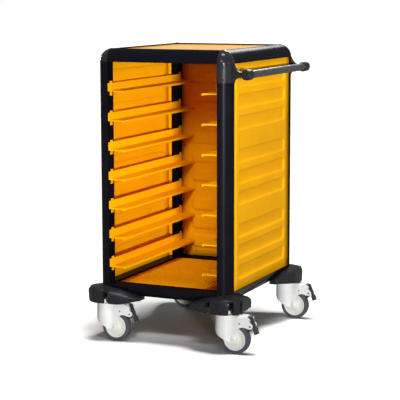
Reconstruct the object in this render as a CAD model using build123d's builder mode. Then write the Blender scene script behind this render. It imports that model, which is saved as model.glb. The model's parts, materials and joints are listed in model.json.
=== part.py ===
from build123d import *
import os
from math import acos, atan2, cos, degrees, hypot, radians, sin, sqrt

# Tray trolley: an open-fronted cabinet on four braked swivel castors, with pairs of tray rails inside
# and a push handle on one side. Millimetres, +Z up, standing on the floor at z = 0, centred on the
# cabinet. The open front faces -Y and the push handle is on +X.

# Cabinet frame of quarter-round profiles
cabinet_width = 477.0
cabinet_depth = 582.0
cabinet_height = 977.0
profile_size = 42.7
profile_wall = 2.5
cap_proud = 1.0
spigot_clearance = 0.5
spigot_length = 27.0

# Panels, and the grooves that hold their edges
panel_sheet = 3.5
panel_recess = 3.5
panel_tongue = 5.5
top_recess = 5.0
groove_depth = 6.5
groove_clearance = 0.25
floor_drop = 8.0
return_width = 11.5
return_gap = 0.5
field_gap = 1.0
field_rise = 0.5

# Pressed bands of the side and rear panels
band_height = 47.5
band_radius = 17.5
band_depth = 5.5
band_wall = 3.0
band_side_margin = 40.0
band_end_margin = 31.2
band_pitch = 68.6

# Ribs on the floor panel
rib_width = 3.5
rib_height = 1.5
rib_pitch = 11.0
rib_margin = 27.0

# Tray rails and the hooks that hang them in the posts
tray_levels = 7
first_tray_rise = 55.5
top_tray_drop = 96.6
rail_sheet = 2.5
rail_web = 26.5
rail_flange = 54.5
rail_lip = 4.5
rail_front_inset = 4.5
rail_rear_gap = 2.0
hook_width = 5.5
hook_depth = 5.0
hook_clearance = 0.25
hook_at = 18.0
hook_plate = 13.0
hook_above = 6.5
hook_below = 14.5
hook_tooth = 10.0

# Push handle
handle_standoff = 48.6
handle_drop = 75.9
tube_diameter = 25.0
tube_wall = 2.0
tube_socket = 24.0
tube_clearance = 0.1
knuckle_diameter = 33.6
knuckle_length = 42.0
knuckle_rounding = 6.5
knuckle_inset = 36.4
knuckle_groove = 2.0
knuckle_groove_depth = 1.2
collar_height = 58.0
collar_gap = 1.0
collar_thickness = 3.2
collar_clearance = 0.1
arm_thickness = 18.0
arm_neck = 13.6
arm_neck_standoff = 24.5
arm_flare = 0.35

# Bracket screws
screw_radius = 2.0
screw_head_radius = 3.2
screw_head_height = 1.8
screw_hole_clearance = 0.1
screw_edge = 9.0
screw_bearing = 26.5

# Corner bumpers, with heights above the underside of the frame
drum_radius = 62.0
drum_bottom_radius = 57.0
drum_crown_radius = 38.0
drum_wall = 5.0
drum_bottom_rise = -20.0
drum_top_rise = 30.5
drum_crown_rise = 39.0
wing_root_proud = 40.0
wing_root_ridge_rise = 27.0
wing_bottom_rise = -22.5
front_wing_length = 146.0
front_shoulder_share = 0.45
front_shoulder_proud = 26.0
front_shoulder_ridge_rise = 1.5
front_shoulder_top_rise = 24.5
front_tip_proud = 8.0
front_tip_bottom_rise = -16.0
front_tip_ridge_rise = -4.0
front_tip_top_rise = 2.5
side_wing_length = 141.0
side_shoulder_share = 0.27
side_shoulder_proud = 36.0
side_shoulder_ridge_rise = 20.0
side_shoulder_top_rise = 29.0
side_tip_proud = 6.0
side_tip_bottom_rise = -8.0
side_tip_ridge_rise = -2.0
side_tip_top_rise = 6.0
notch_width = 17.0
notch_depth = 24.0
notch_top_rise = 20.0
left_notch_bearings = (-20.0,)
right_notch_bearings = (44.5, -41.0, 82.0)
bumper_clearance = 0.2

# Castors: the stem fixed under each corner, and the swivelling hood with its wheel
castor_height = 149.0
stem_inset_side = 22.0
stem_inset_front = 18.0
block_thickness = 5.5
block_clearance = 0.5
stem_thread_radius = 5.0
stem_thread_length = 22.0
stem_fit = 0.05
stem_flange_radius = 12.0
stem_flange_thickness = 2.0
stem_radius = 6.0
stem_head_radius = 10.0
stem_head_thickness = 4.5
stem_head_room = 1.5
stem_shoulder_rise = 49.0
swivel_gap = 0.3
wheel_radius = 50.0
wheel_trail = 38.5
tyre_thickness = 12.0
tyre_width = 27.0
tyre_rounding = 4.0
tyre_room = 6.0
bond_gap = 0.05
hub_radius = 14.3
hub_half_width = 14.5
disc_radius = 31.0
disc_half_width = 12.5
rim_groove = 1.2
rim_groove_depth = 3.0
axle_radius = 5.0
axle_head_radius = 8.0
axle_head_height = 1.5
bush_wall = 3.0
bush_flange = 3.0
bush_flange_thickness = 0.7
running_fit = 0.05
hood_radius = 32.3
hood_rounding = 5.0
hood_taper = 30.0
hood_taper_blend = 30.0
hood_roof = 5.0
neck_radius = 8.5
neck_height = 16.2
cheek_gap = 31.0
cheek_thickness = 4.0
axle_boss_proud = 1.5
boss_wall = 11.0

# Side outline of a hood: distances behind and above the axle, or below the hood's top
hood_lip_rise = 32.0
hood_bend = (-59.5, 19.0)
hood_foot = (-38.5, 5.6)
hood_boss_angles = (240.0, 300.0, 15.0)
hood_arch_foot = (11.0, 26.0)
hood_arch_bend = (19.0, 38.5)
hood_arch_top = (33.0, 43.4)
hood_crown_back = 31.5
hood_brow = (46.5, 76.3)
hood_brow_tip = (56.8, 69.8)
hood_brow_under = (53.5, 63.5)
hood_roof_end = 42.0
nose_radius = 9.0
nose_under_angle = -100.0
nose_over_angle = 62.0

# Brake pedal on the nose of each hood, its pins placed behind and above the axle
pedal_pin = (56.5, 48.0)
pedal_pin_radius = 3.0
spring_pin = (20.0, 54.7)
spring_pin_radius = 2.5
pedal_lean = 20.4
pedal_thickness = 8.0
pedal_width = 9.0
pedal_headroom = 5.6
pedal_down = 31.0
pedal_offset = 7.2
pedal_hub_radius = 7.0
pedal_side_gap = 1.0
tread_length = 19.0
tread_width = 16.0
tread_proud = 2.0
shoe_width = 24.0
shoe_reach = 23.5
shoe_thickness = 9.0
shoe_bearing = 240.0

# Sizes worked out from the ones above
half_width = cabinet_width / 2
half_depth = cabinet_depth / 2
inner_x = half_width - profile_size
inner_y = half_depth - profile_size
frame_bottom = castor_height + block_thickness
top_rail_z = cabinet_height - profile_size
floor_rail_z = frame_bottom + profile_size
first_tray_z = floor_rail_z + first_tray_rise
tray_pitch = (top_rail_z - top_tray_drop - first_tray_z) / (tray_levels - 1)
groove_at = profile_size - panel_recess - panel_sheet - groove_clearance
top_groove_at = profile_size - top_recess - panel_sheet - groove_clearance
floor_groove_at = floor_drop - groove_clearance
groove_width = panel_sheet + 2 * groove_clearance
stem_x = half_width - stem_inset_side
stem_y = half_depth - stem_inset_front
drum_bottom = frame_bottom + drum_bottom_rise
drum_top = frame_bottom + drum_top_rise
drum_crown = frame_bottom + drum_crown_rise
notch_top = frame_bottom + notch_top_rise
notch_bottom = drum_bottom - drum_wall
flange_bottom = castor_height - stem_flange_thickness
hood_top = flange_bottom - swivel_gap - neck_height
stem_shoulder = wheel_radius + stem_shoulder_rise
handle_x = half_width + handle_standoff
handle_z = cabinet_height - handle_drop
tube_radius = tube_diameter / 2
knuckle_y = half_depth - knuckle_inset
collar_top = top_rail_z - collar_gap
collar_bottom = collar_top - collar_height
collar_radius = profile_size + collar_thickness
screw_levels = (collar_bottom + screw_edge, collar_top - screw_edge)
cheek_inside = cheek_gap / 2
cheek_outside = cheek_inside + cheek_thickness
boss_outside = cheek_outside + axle_boss_proud
rear_bands_y = half_depth - panel_recess - panel_sheet - band_depth

front_and_rear = (("front", -1), ("rear", 1))
left_and_right = (("left", -1), ("right", 1))
corners = [(f"{fore}_{side}", sx, sy) for fore, sy in front_and_rear for side, sx in left_and_right]

# Where a drawn rectangle is held: by the middle of its left edge, or by the middle of its foot
side_middle = (Align.MIN, Align.CENTER)
foot_middle = (Align.CENTER, Align.MIN)


def save(shape, name):
    """Label one finished piece and write it."""
    shape.label = name
    export_step(shape, f"parts/{name}.step")


def outward_plane(origin, first, second):
    """Plane whose x and y axes point along the two outward directions."""
    return Plane(origin=origin, x_dir=first, z_dir=Vector(*first).cross(Vector(*second)))


def corner_plane(side_x, side_y, height):
    """Level plane on the trolley's axis whose x and y axes point out towards one corner."""
    return outward_plane((0, 0, height), (side_x, 0, 0), (0, side_y, 0))


def around(centre, radius, angle):
    """Point at an angle in degrees round a centre."""
    return (centre[0] + radius * cos(radians(angle)), centre[1] + radius * sin(radians(angle)))


def make_bar(name, plane, length, inner_groove, edge_groove=True, hook_slot=False, screw_side=None):
    """Hollow quarter-round bar, centred on its plane, with its square corner at the plane's origin."""
    reach = sqrt((profile_size - profile_wall) ** 2 - profile_wall ** 2)
    channel_depth = groove_depth + profile_wall
    channel_width = groove_width + 2 * profile_wall
    slot_depth = hook_depth + hook_clearance
    slot_width = hook_width + 2 * hook_clearance
    with BuildPart() as bar:
        with BuildSketch(plane):
            with BuildLine():
                Line((0, 0), (profile_size, 0))
                CenterArc((0, 0), profile_size, 0, 90)
                Line((0, profile_size), (0, 0))
            make_face()
            with BuildLine():
                Line((profile_wall, profile_wall), (reach, profile_wall))
                RadiusArc((reach, profile_wall), (profile_wall, reach), profile_wall - profile_size)
                Line((profile_wall, reach), (profile_wall, profile_wall))
            make_face(mode=Mode.SUBTRACT)
            with Locations((0, inner_groove - profile_wall)):
                Rectangle(channel_depth, channel_width, align=Align.MIN)
            if edge_groove:
                with Locations((groove_at - profile_wall, 0)):
                    Rectangle(channel_width, channel_depth, align=Align.MIN)
            if hook_slot:
                with Locations((0, hook_at)):
                    Rectangle(slot_depth + profile_wall, slot_width + 2 * profile_wall, align=side_middle)
            Circle(profile_size, mode=Mode.INTERSECT)
            with Locations((0, inner_groove)):
                Rectangle(groove_depth, groove_width, align=Align.MIN, mode=Mode.SUBTRACT)
            if edge_groove:
                with Locations((groove_at, 0)):
                    Rectangle(groove_width, groove_depth, align=Align.MIN, mode=Mode.SUBTRACT)
            if hook_slot:
                with Locations((0, hook_at)):
                    Rectangle(slot_depth, slot_width, align=side_middle, mode=Mode.SUBTRACT)
        extrude(amount=length / 2, both=True)
        if screw_side is not None:
            for level in screw_levels:
                with BuildSketch(screw_plane(screw_side, level)):
                    Circle(screw_radius + screw_hole_clearance)
                extrude(amount=2 * profile_wall, both=True, mode=Mode.SUBTRACT)
    save(bar.part, name)


def screw_plane(side_y, level):
    """Plane on the surface of a right-hand post, facing out along a bracket screw."""
    out_x = sin(radians(screw_bearing))
    out_y = side_y * cos(radians(screw_bearing))
    origin = (inner_x + profile_size * out_x, side_y * inner_y + profile_size * out_y, level)
    return Plane(origin=origin, x_dir=(0, 0, 1), z_dir=(out_x, out_y, 0))


def make_corner_caps():
    """Domed caps over the top ends of the posts, with a spigot into each profile they join."""
    spigot_near = groove_depth + profile_wall + spigot_clearance
    spigot_far = (profile_size - profile_wall - spigot_clearance) / sqrt(2)
    spigot_size = spigot_far - spigot_near
    middle = (spigot_near + spigot_far) / 2
    with BuildPart() as caps:
        for name, side_x, side_y in corners:
            centre = (side_x * inner_x, side_y * inner_y, top_rail_z)
            with BuildSketch(outward_plane(centre, (side_x, 0, 0), (0, 0, 1))):
                with BuildLine():
                    Line((0, 0), (profile_size + cap_proud, 0))
                    CenterArc((0, 0), profile_size + cap_proud, 0, 90)
                    Line((0, profile_size + cap_proud), (0, 0))
                make_face()
            revolve(axis=Axis(centre, (0, 0, side_x * side_y)), revolution_arc=90)
            spigot_x = side_x * (inner_x + middle)
            spigot_y = side_y * (inner_y + middle)
            with Locations((spigot_x, spigot_y, top_rail_z - spigot_length / 2)):
                Box(spigot_size, spigot_size, spigot_length)
            with Locations((side_x * (inner_x - spigot_length / 2), spigot_y, top_rail_z + middle)):
                Box(spigot_length, spigot_size, spigot_size)
            with Locations((spigot_x, side_y * (inner_y - spigot_length / 2), top_rail_z + middle)):
                Box(spigot_size, spigot_length, spigot_size)
    save(caps.part, "corner_caps")


def make_corner_blocks():
    """Discs under the posts, each with a round spigot up into its post that takes a castor's stem."""
    stem_out = stem_x - inner_x
    stem_along = stem_y - inner_y
    room_at_arc = profile_size - profile_wall - hypot(stem_out, stem_along)
    room_at_groove = stem_out - groove_depth - profile_wall
    spigot_radius = min(room_at_arc, room_at_groove) - spigot_clearance
    with BuildPart() as blocks:
        for name, side_x, side_y in corners:
            foot = Plane((side_x * stem_x, side_y * stem_y, castor_height))
            with BuildSketch(foot):
                Circle(drum_bottom_radius - drum_wall - block_clearance)
            extrude(amount=block_thickness)
            with BuildSketch(foot):
                Circle(spigot_radius)
            extrude(amount=block_thickness + spigot_length)
            with BuildSketch(foot):
                Circle(stem_thread_radius + stem_fit)
            extrude(amount=block_thickness + spigot_length, mode=Mode.SUBTRACT)
    save(blocks.part, "corner_blocks")


def draw_sheet(width, height):
    """Draw a panel's sheet: the visible opening plus a tongue along each edge, with the corners left out."""
    Rectangle(width + 2 * panel_tongue, height)
    Rectangle(width, height + 2 * panel_tongue)


def make_pressed_panel(name, face, width, height, returns=False):
    """Sheet with bands pressed into its outer face, and with or without returns beside the posts."""
    band_length = width - 2 * band_side_margin
    band_group_pitch = height / 2 - band_end_margin - band_height / 2 - band_pitch
    centres = [
        (0, group * band_group_pitch + band * band_pitch) for group in (-1, 0, 1) for band in (-1, 0, 1)
    ]
    with BuildPart() as panel:
        with BuildSketch(face):
            draw_sheet(width, height)
        extrude(amount=-panel_sheet)
        with BuildSketch(face.offset(-panel_sheet)):
            with Locations(*centres):
                RectangleRounded(
                    band_length + 2 * band_wall, band_height + 2 * band_wall, band_radius + band_wall
                )
        extrude(amount=-band_depth)
        with BuildSketch(face):
            with Locations(*centres):
                RectangleRounded(band_length, band_height, band_radius)
        extrude(amount=-band_depth, mode=Mode.SUBTRACT)
        if returns:
            with BuildSketch(face.offset(-panel_sheet)):
                with GridLocations(width - 2 * return_gap - panel_sheet, 1, 2, 1):
                    Rectangle(panel_sheet, height - 2 * return_gap)
            extrude(amount=-return_width)
    save(panel.part, name)


def make_top_panel():
    """Sheet in the inner grooves of the top rails, with a low raised field between the rails."""
    sheet_top = cabinet_height - top_recess
    with BuildPart() as panel:
        with BuildSketch(Plane.XY.offset(sheet_top)):
            draw_sheet(2 * inner_x, 2 * inner_y)
        extrude(amount=-panel_sheet)
        with BuildSketch(Plane.XY.offset(sheet_top)):
            Rectangle(2 * (inner_x - field_gap), 2 * (inner_y - field_gap))
        extrude(amount=field_rise)
    save(panel.part, "panel_top")


def make_floor_panel():
    """Sheet in the inner grooves of the bottom rails, with ribs from front to rear inside a flat border."""
    floor_top = floor_rail_z - floor_drop
    rib_count = int((2 * (inner_x - rib_margin) - rib_width) / rib_pitch) + 1
    with BuildPart() as panel:
        with BuildSketch(Plane.XY.offset(floor_top)):
            draw_sheet(2 * inner_x, 2 * inner_y)
        extrude(amount=-panel_sheet)
        with BuildSketch(Plane.XY.offset(floor_top)):
            with GridLocations(rib_pitch, rib_pitch, rib_count, 1):
                Rectangle(rib_width, 2 * (inner_y - rib_margin))
        extrude(amount=rib_height)
    save(panel.part, "panel_floor")


def make_tray_rails(level):
    """One pair of tray rails: a web against the posts, a flange for the tray and a hook at each end."""
    bottom = first_tray_z + level * tray_pitch
    web_inside = inner_x - rail_sheet
    tip = inner_x - rail_flange
    front_end = -(half_depth - rail_front_inset)
    rear_end = rear_bands_y - rail_rear_gap
    length = rear_end - front_end
    hook_y = inner_y + hook_at
    with BuildPart() as rails:
        for name, side in left_and_right:
            middle = (0, (front_end + rear_end) / 2, bottom)
            with BuildSketch(outward_plane(middle, (side, 0, 0), (0, 0, 1))):
                with BuildLine():
                    Polyline(
                        (inner_x, 0),
                        (inner_x, rail_web),
                        (web_inside, rail_web),
                        (web_inside, rail_sheet),
                        (tip, rail_sheet),
                        (tip, -rail_lip),
                        (tip + rail_sheet, -rail_lip),
                        (tip + rail_sheet, 0),
                        close=True,
                    )
                make_face()
            extrude(amount=length / 2, both=True)
            for fore, side_y in front_and_rear:
                web_face = (side * web_inside, side_y * hook_y, bottom)
                post_face = (side * inner_x, side_y * hook_y, bottom)
                with BuildSketch(outward_plane(web_face, (0, 1, 0), (0, 0, 1))):
                    with Locations((0, -hook_below)):
                        Rectangle(hook_plate, hook_below + rail_web + hook_above, align=foot_middle)
                extrude(amount=side * rail_sheet)
                with BuildSketch(outward_plane(post_face, (0, 1, 0), (0, 0, 1))):
                    with Locations((0, -hook_below), (0, rail_web + hook_above - hook_tooth)):
                        Rectangle(hook_width, hook_tooth, align=foot_middle)
                extrude(amount=side * hook_depth)
    save(rails.part, f"tray_rails_{level + 1}")


def wing_section(proud, bottom, ridge, top, edge):
    """Points of one cross-section of a bumper wing, measured out from the cabinet's axis."""
    inside = edge - profile_size / 2
    outside = edge + proud
    return [(inside, bottom), (outside, bottom), (outside, ridge), (edge, top), (inside, top)]


def make_bumper(name, side_x, side_y):
    """Drum round the castor with a tapering wing along the front or rear and one along the side."""
    shoulder_x = stem_x - front_shoulder_share * (stem_x - half_width + front_wing_length)
    shoulder_y = stem_y - side_shoulder_share * (stem_y - half_depth + side_wing_length)
    front_stations = (stem_x, shoulder_x, half_width - front_wing_length)
    side_stations = (stem_y, shoulder_y, half_depth - side_wing_length)
    root = (wing_root_proud, wing_bottom_rise, wing_root_ridge_rise, drum_top_rise)
    front_shoulder = (
        front_shoulder_proud,
        wing_bottom_rise,
        front_shoulder_ridge_rise,
        front_shoulder_top_rise,
    )
    front_tip = (front_tip_proud, front_tip_bottom_rise, front_tip_ridge_rise, front_tip_top_rise)
    side_shoulder = (
        side_shoulder_proud,
        wing_bottom_rise,
        side_shoulder_ridge_rise,
        side_shoulder_top_rise,
    )
    side_tip = (side_tip_proud, side_tip_bottom_rise, side_tip_ridge_rise, side_tip_top_rise)
    cut_radius = profile_size + bumper_clearance
    cut_top = drum_crown + profile_size
    notch_bearings = right_notch_bearings if side_x > 0 else left_notch_bearings
    lower_edge = Align.CENTER, Align.CENTER, Align.MIN
    with BuildPart() as bumper:
        with Locations((side_x * stem_x, side_y * stem_y, drum_bottom)):
            Cone(drum_bottom_radius, drum_radius, drum_top - drum_bottom, align=lower_edge)
        with Locations((side_x * stem_x, side_y * stem_y, drum_top)):
            Cone(drum_radius, drum_crown_radius, drum_crown - drum_top, align=lower_edge)
        for station, (proud, bottom, ridge, top) in zip(front_stations, (root, front_shoulder, front_tip)):
            with BuildSketch(outward_plane((side_x * station, 0, frame_bottom), (0, side_y, 0), (0, 0, 1))):
                with BuildLine():
                    Polyline(*wing_section(proud, bottom, ridge, top, half_depth), close=True)
                make_face()
        loft(ruled=True)
        for station, (proud, bottom, ridge, top) in zip(side_stations, (root, side_shoulder, side_tip)):
            with BuildSketch(outward_plane((0, side_y * station, frame_bottom), (side_x, 0, 0), (0, 0, 1))):
                with BuildLine():
                    Polyline(*wing_section(proud, bottom, ridge, top, half_width), close=True)
                make_face()
        loft(ruled=True)
        # Room for the corner block and the castor's neck
        with BuildSketch(Plane((side_x * stem_x, side_y * stem_y, 0))):
            Circle(drum_bottom_radius - drum_wall)
        extrude(amount=frame_bottom, mode=Mode.SUBTRACT)
        # The post, the bottom rails and the space inside the frame
        with BuildSketch(corner_plane(side_x, side_y, (frame_bottom + cut_top) / 2)):
            with Locations((inner_x, inner_y)):
                Circle(cut_radius)
            Rectangle(inner_x, inner_y + cut_radius, align=Align.MIN, mode=Mode.SUBTRACT)
            Rectangle(inner_x + cut_radius, inner_y, align=Align.MIN, mode=Mode.SUBTRACT)
            Rectangle(inner_x, inner_y, align=Align.MIN)
        extrude(amount=(cut_top - frame_bottom) / 2, both=True, mode=Mode.SUBTRACT)
        for plane, run in (
            (outward_plane((0, side_y * inner_y, floor_rail_z), (0, side_y, 0), (0, 0, -1)), inner_x),
            (outward_plane((side_x * inner_x, 0, floor_rail_z), (side_x, 0, 0), (0, 0, -1)), inner_y),
        ):
            with BuildSketch(plane):
                with BuildLine():
                    Line((0, 0), (cut_radius, 0))
                    CenterArc((0, 0), cut_radius, 0, 90)
                    Line((0, cut_radius), (0, 0))
                make_face()
            extrude(amount=run, both=True, mode=Mode.SUBTRACT)
        # Notches through the skirt of the drum
        with BuildSketch(corner_plane(side_x, side_y, (notch_bottom + notch_top) / 2)):
            for bearing in notch_bearings:
                with Locations(around((stem_x, stem_y), drum_radius, 90 - bearing)):
                    Rectangle(notch_width, 2 * notch_depth, rotation=-bearing)
        extrude(amount=(notch_top - notch_bottom) / 2, both=True, mode=Mode.SUBTRACT)
    save(bumper.part, name)


def make_handle_tube():
    """Push tube between the two brackets."""
    half_length = knuckle_y - knuckle_length / 2 + tube_socket
    with BuildPart() as tube:
        with BuildSketch(Plane((handle_x, 0, handle_z), z_dir=(0, 1, 0))):
            Circle(tube_radius)
            Circle(tube_radius - tube_wall, mode=Mode.SUBTRACT)
        extrude(amount=half_length, both=True)
    save(tube.part, "handle_tube")


def make_handle_bracket(name, side_y):
    """Collar on a right-hand post, and a necked arm to the knuckle that holds the tube."""
    side = outward_plane((0, side_y * knuckle_y, handle_z), (1, 0, 0), (0, 0, 1))
    arm_start = inner_x + profile_size / 2
    neck_x = half_width + arm_neck_standoff
    arm_up = collar_top - handle_z
    arm_low = collar_bottom - handle_z
    half_neck = arm_neck / 2
    half_knuckle = knuckle_length / 2
    post_radius = profile_size + collar_clearance
    knuckle_centre = (handle_x, side_y * knuckle_y, handle_z)
    with BuildPart() as bracket:
        with BuildSketch(side):
            with BuildLine():
                Line((arm_start, arm_low), (arm_start, arm_up))
                Line((arm_start, arm_up), (half_width, arm_up))
                TangentArc((half_width, arm_up), (neck_x, half_neck), tangent=(arm_flare, -1))
                Line((neck_x, half_neck), (handle_x, half_neck))
                Line((handle_x, half_neck), (handle_x, -half_neck))
                Line((handle_x, -half_neck), (neck_x, -half_neck))
                TangentArc((half_width, arm_low), (neck_x, -half_neck), tangent=(arm_flare, 1))
                Line((half_width, arm_low), (arm_start, arm_low))
            make_face()
        extrude(amount=arm_thickness / 2, both=True)
        with BuildSketch(corner_plane(1, side_y, (collar_top + collar_bottom) / 2)):
            with Locations((inner_x, inner_y)):
                Circle(collar_radius)
            Rectangle(inner_x, inner_y + collar_radius, align=Align.MIN, mode=Mode.SUBTRACT)
            Rectangle(inner_x + collar_radius, inner_y, align=Align.MIN, mode=Mode.SUBTRACT)
        extrude(amount=collar_height / 2, both=True)
        # The post and the side panel stay clear
        with BuildSketch(corner_plane(1, side_y, (collar_top + collar_bottom) / 2)):
            with Locations((inner_x, inner_y)):
                Circle(post_radius)
            Rectangle(inner_x + post_radius, inner_y, align=Align.MIN)
        extrude(amount=collar_height, both=True, mode=Mode.SUBTRACT)
        with BuildSketch(outward_plane(knuckle_centre, (1, 0, 0), (0, 1, 0))) as knuckle:
            Rectangle(knuckle_diameter / 2, knuckle_length, align=side_middle)
            fillet(knuckle.vertices().group_by(Axis.X)[-1], knuckle_rounding)
            with Locations((knuckle_diameter / 2, 0)):
                Rectangle(2 * knuckle_groove_depth, knuckle_groove, mode=Mode.SUBTRACT)
        revolve(axis=Axis(knuckle_centre, (0, 1, 0)))
        socket_mouth = (handle_x, side_y * (knuckle_y - half_knuckle), handle_z)
        with BuildSketch(Plane(socket_mouth, z_dir=(0, side_y, 0))):
            Circle(tube_radius + tube_clearance)
        extrude(amount=tube_socket + tube_clearance, mode=Mode.SUBTRACT)
        for level in screw_levels:
            with BuildSketch(screw_plane(side_y, level)):
                Circle(screw_radius + screw_hole_clearance)
            extrude(amount=2 * collar_thickness, both=True, mode=Mode.SUBTRACT)
            with BuildSketch(screw_plane(side_y, level).offset(collar_thickness - screw_head_height)):
                Circle(screw_head_radius + screw_hole_clearance)
            extrude(amount=2 * collar_thickness, mode=Mode.SUBTRACT)
    save(bracket.part, name)


def make_handle_screws():
    """Screws through the collars of both brackets into the posts."""
    with BuildPart() as screws:
        for fore, side_y in front_and_rear:
            for level in screw_levels:
                seat = screw_plane(side_y, level).offset(collar_thickness - screw_head_height)
                with BuildSketch(seat):
                    Circle(screw_head_radius)
                extrude(amount=screw_head_height)
                with BuildSketch(seat):
                    Circle(screw_radius)
                extrude(amount=-(collar_thickness + profile_wall))
    save(screws.part, "handle_screws")


def make_castor_stems():
    """Stems screwed into the corner blocks: thread, thrust flange, swivel pin and retaining head."""
    head_bottom = stem_shoulder - swivel_gap - stem_head_thickness
    with BuildPart() as stems:
        for name, side_x, side_y in corners:
            for radius, low, high in (
                (stem_thread_radius, castor_height, castor_height + stem_thread_length),
                (stem_flange_radius, flange_bottom, castor_height),
                (stem_radius, head_bottom, flange_bottom),
                (stem_head_radius, head_bottom, head_bottom + stem_head_thickness),
            ):
                with BuildSketch(Plane((side_x * stem_x, side_y * stem_y, low))):
                    Circle(radius)
                extrude(amount=high - low)
    save(stems.part, "castor_stems")


def castor_side(at_x, at_y):
    """Upright plane through a castor: x and y are the distances behind and above its axle."""
    return outward_plane((at_x + wheel_trail, at_y, wheel_radius), (1, 0, 0), (0, 0, 1))


def make_hood_plan(at_x, at_y, length):
    """Space that a hood may fill: a round front that tapers into straight cheeks, rounded on top."""
    taper_reach = hypot(hood_taper, cheek_outside)
    tangent = atan2(cheek_outside, hood_taper) + acos(hood_radius / taper_reach)
    shoulder_x, shoulder_y = around((0, 0), hood_radius, degrees(tangent))
    with BuildPart() as plan:
        with BuildSketch(Plane((at_x, at_y, 0))) as outline:
            with BuildLine():
                ThreePointArc((shoulder_x, shoulder_y), (-hood_radius, 0), (shoulder_x, -shoulder_y))
                Polyline(
                    (shoulder_x, -shoulder_y),
                    (hood_taper, -cheek_outside),
                    (length, -cheek_outside),
                    (length, cheek_outside),
                    (hood_taper, cheek_outside),
                    (shoulder_x, shoulder_y),
                )
            make_face()
            fillet(outline.vertices().group_by(Axis.X)[-2], hood_taper_blend)
        extrude(amount=hood_top)
        fillet(plan.edges().group_by(Axis.Z)[-1], hood_rounding)
    return plan.part


def make_hood(name, at_x, at_y):
    """Castor hood: a neck round the stem, two cheeks over the wheel and a nose that carries the pedal."""
    side = castor_side(at_x, at_y)
    lip = (-hood_radius - wheel_trail, hood_lip_rise)
    crown_rise = hood_top - wheel_radius
    front_top = (-hood_radius - wheel_trail, crown_rise)
    crown = (hood_crown_back, crown_rise)
    boss_entry, boss_under, boss_exit = [around((0, 0), hub_radius, angle) for angle in hood_boss_angles]
    nose_under = around(pedal_pin, nose_radius, nose_under_angle)
    nose_tip = around(pedal_pin, nose_radius, 0)
    nose_over = around(pedal_pin, nose_radius, nose_over_angle)
    wheel_room = wheel_radius + tyre_room
    pocket_front = stem_radius + boss_wall - wheel_trail
    pocket_rear = pedal_pin[0] + 2 * nose_radius
    with BuildPart() as hood:
        with BuildSketch(side.offset(-hood_radius)):
            with BuildLine():
                Line(front_top, lip)
                ThreePointArc(lip, hood_bend, hood_foot)
                Line(hood_foot, boss_entry)
                ThreePointArc(boss_entry, boss_under, boss_exit)
                Line(boss_exit, hood_arch_foot)
                ThreePointArc(hood_arch_foot, hood_arch_bend, hood_arch_top)
                Line(hood_arch_top, nose_under)
                ThreePointArc(nose_under, nose_tip, nose_over)
                Line(nose_over, hood_brow_under)
                Line(hood_brow_under, hood_brow_tip)
                ThreePointArc(hood_brow_tip, hood_brow, crown)
                Line(crown, front_top)
            make_face()
        extrude(amount=2 * hood_radius)
        add(make_hood_plan(at_x, at_y, wheel_trail + pocket_rear), mode=Mode.INTERSECT)
        with BuildSketch(side.offset(-boss_outside)):
            Circle(hub_radius)
        extrude(amount=2 * boss_outside)
        with BuildSketch(Plane((at_x, at_y, hood_top))):
            Circle(neck_radius)
        extrude(amount=neck_height)
        # Room for the wheel, then for the brake behind the stem
        with BuildSketch(side.offset(-cheek_inside)):
            with BuildLine():
                Line((wheel_room, 0), (wheel_room, -wheel_room))
                Line((wheel_room, -wheel_room), (-wheel_room, -wheel_room))
                Line((-wheel_room, -wheel_room), (-wheel_room, 0))
                ThreePointArc((-wheel_room, 0), (0, wheel_room), (wheel_room, 0))
            make_face()
        extrude(amount=cheek_gap, mode=Mode.SUBTRACT)
        with BuildSketch(side.offset(-cheek_inside)):
            with BuildLine():
                Polyline(
                    (pocket_front, 0),
                    (pocket_front, crown_rise - hood_roof),
                    (hood_roof_end, crown_rise - hood_roof),
                    (hood_roof_end, crown_rise + hood_roof),
                    (pocket_rear, crown_rise + hood_roof),
                    (pocket_rear, 0),
                    close=True,
                )
            make_face()
        extrude(amount=cheek_gap, mode=Mode.SUBTRACT)
        # Bores for the stem, its head and the pins
        with BuildSketch(Plane((at_x, at_y, 0))):
            Circle(stem_radius + running_fit)
        extrude(amount=castor_height, mode=Mode.SUBTRACT)
        with BuildSketch(Plane((at_x, at_y, 0))):
            Circle(stem_head_radius + stem_head_room)
        extrude(amount=stem_shoulder, mode=Mode.SUBTRACT)
        with BuildSketch(side.offset(-2 * cheek_outside)):
            Circle(axle_radius + running_fit)
            with Locations(pedal_pin):
                Circle(pedal_pin_radius + running_fit)
            with Locations(spring_pin):
                Circle(spring_pin_radius + running_fit)
        extrude(amount=4 * cheek_outside, mode=Mode.SUBTRACT)
    save(hood.part, name)


def make_pins(name, at_x, at_y):
    """The axle with its heads, the pedal pin and the spring pin of one castor."""
    side = castor_side(at_x, at_y)
    with BuildPart() as pins:
        with BuildSketch(side):
            Circle(axle_radius)
        extrude(amount=boss_outside, both=True)
        for face in (-1, 1):
            with BuildSketch(side.offset(face * boss_outside)):
                Circle(axle_head_radius)
            extrude(amount=face * axle_head_height)
        with BuildSketch(side):
            with Locations(pedal_pin):
                Circle(pedal_pin_radius)
            with Locations(spring_pin):
                Circle(spring_pin_radius)
        extrude(amount=cheek_outside, both=True)
    save(pins.part, name)


def wheel_plane(at_x, at_y):
    """Plane through a wheel's axis: x runs out from the axis along the trail and y along the axis."""
    return outward_plane((at_x + wheel_trail, at_y, wheel_radius), (1, 0, 0), (0, 1, 0))


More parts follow.
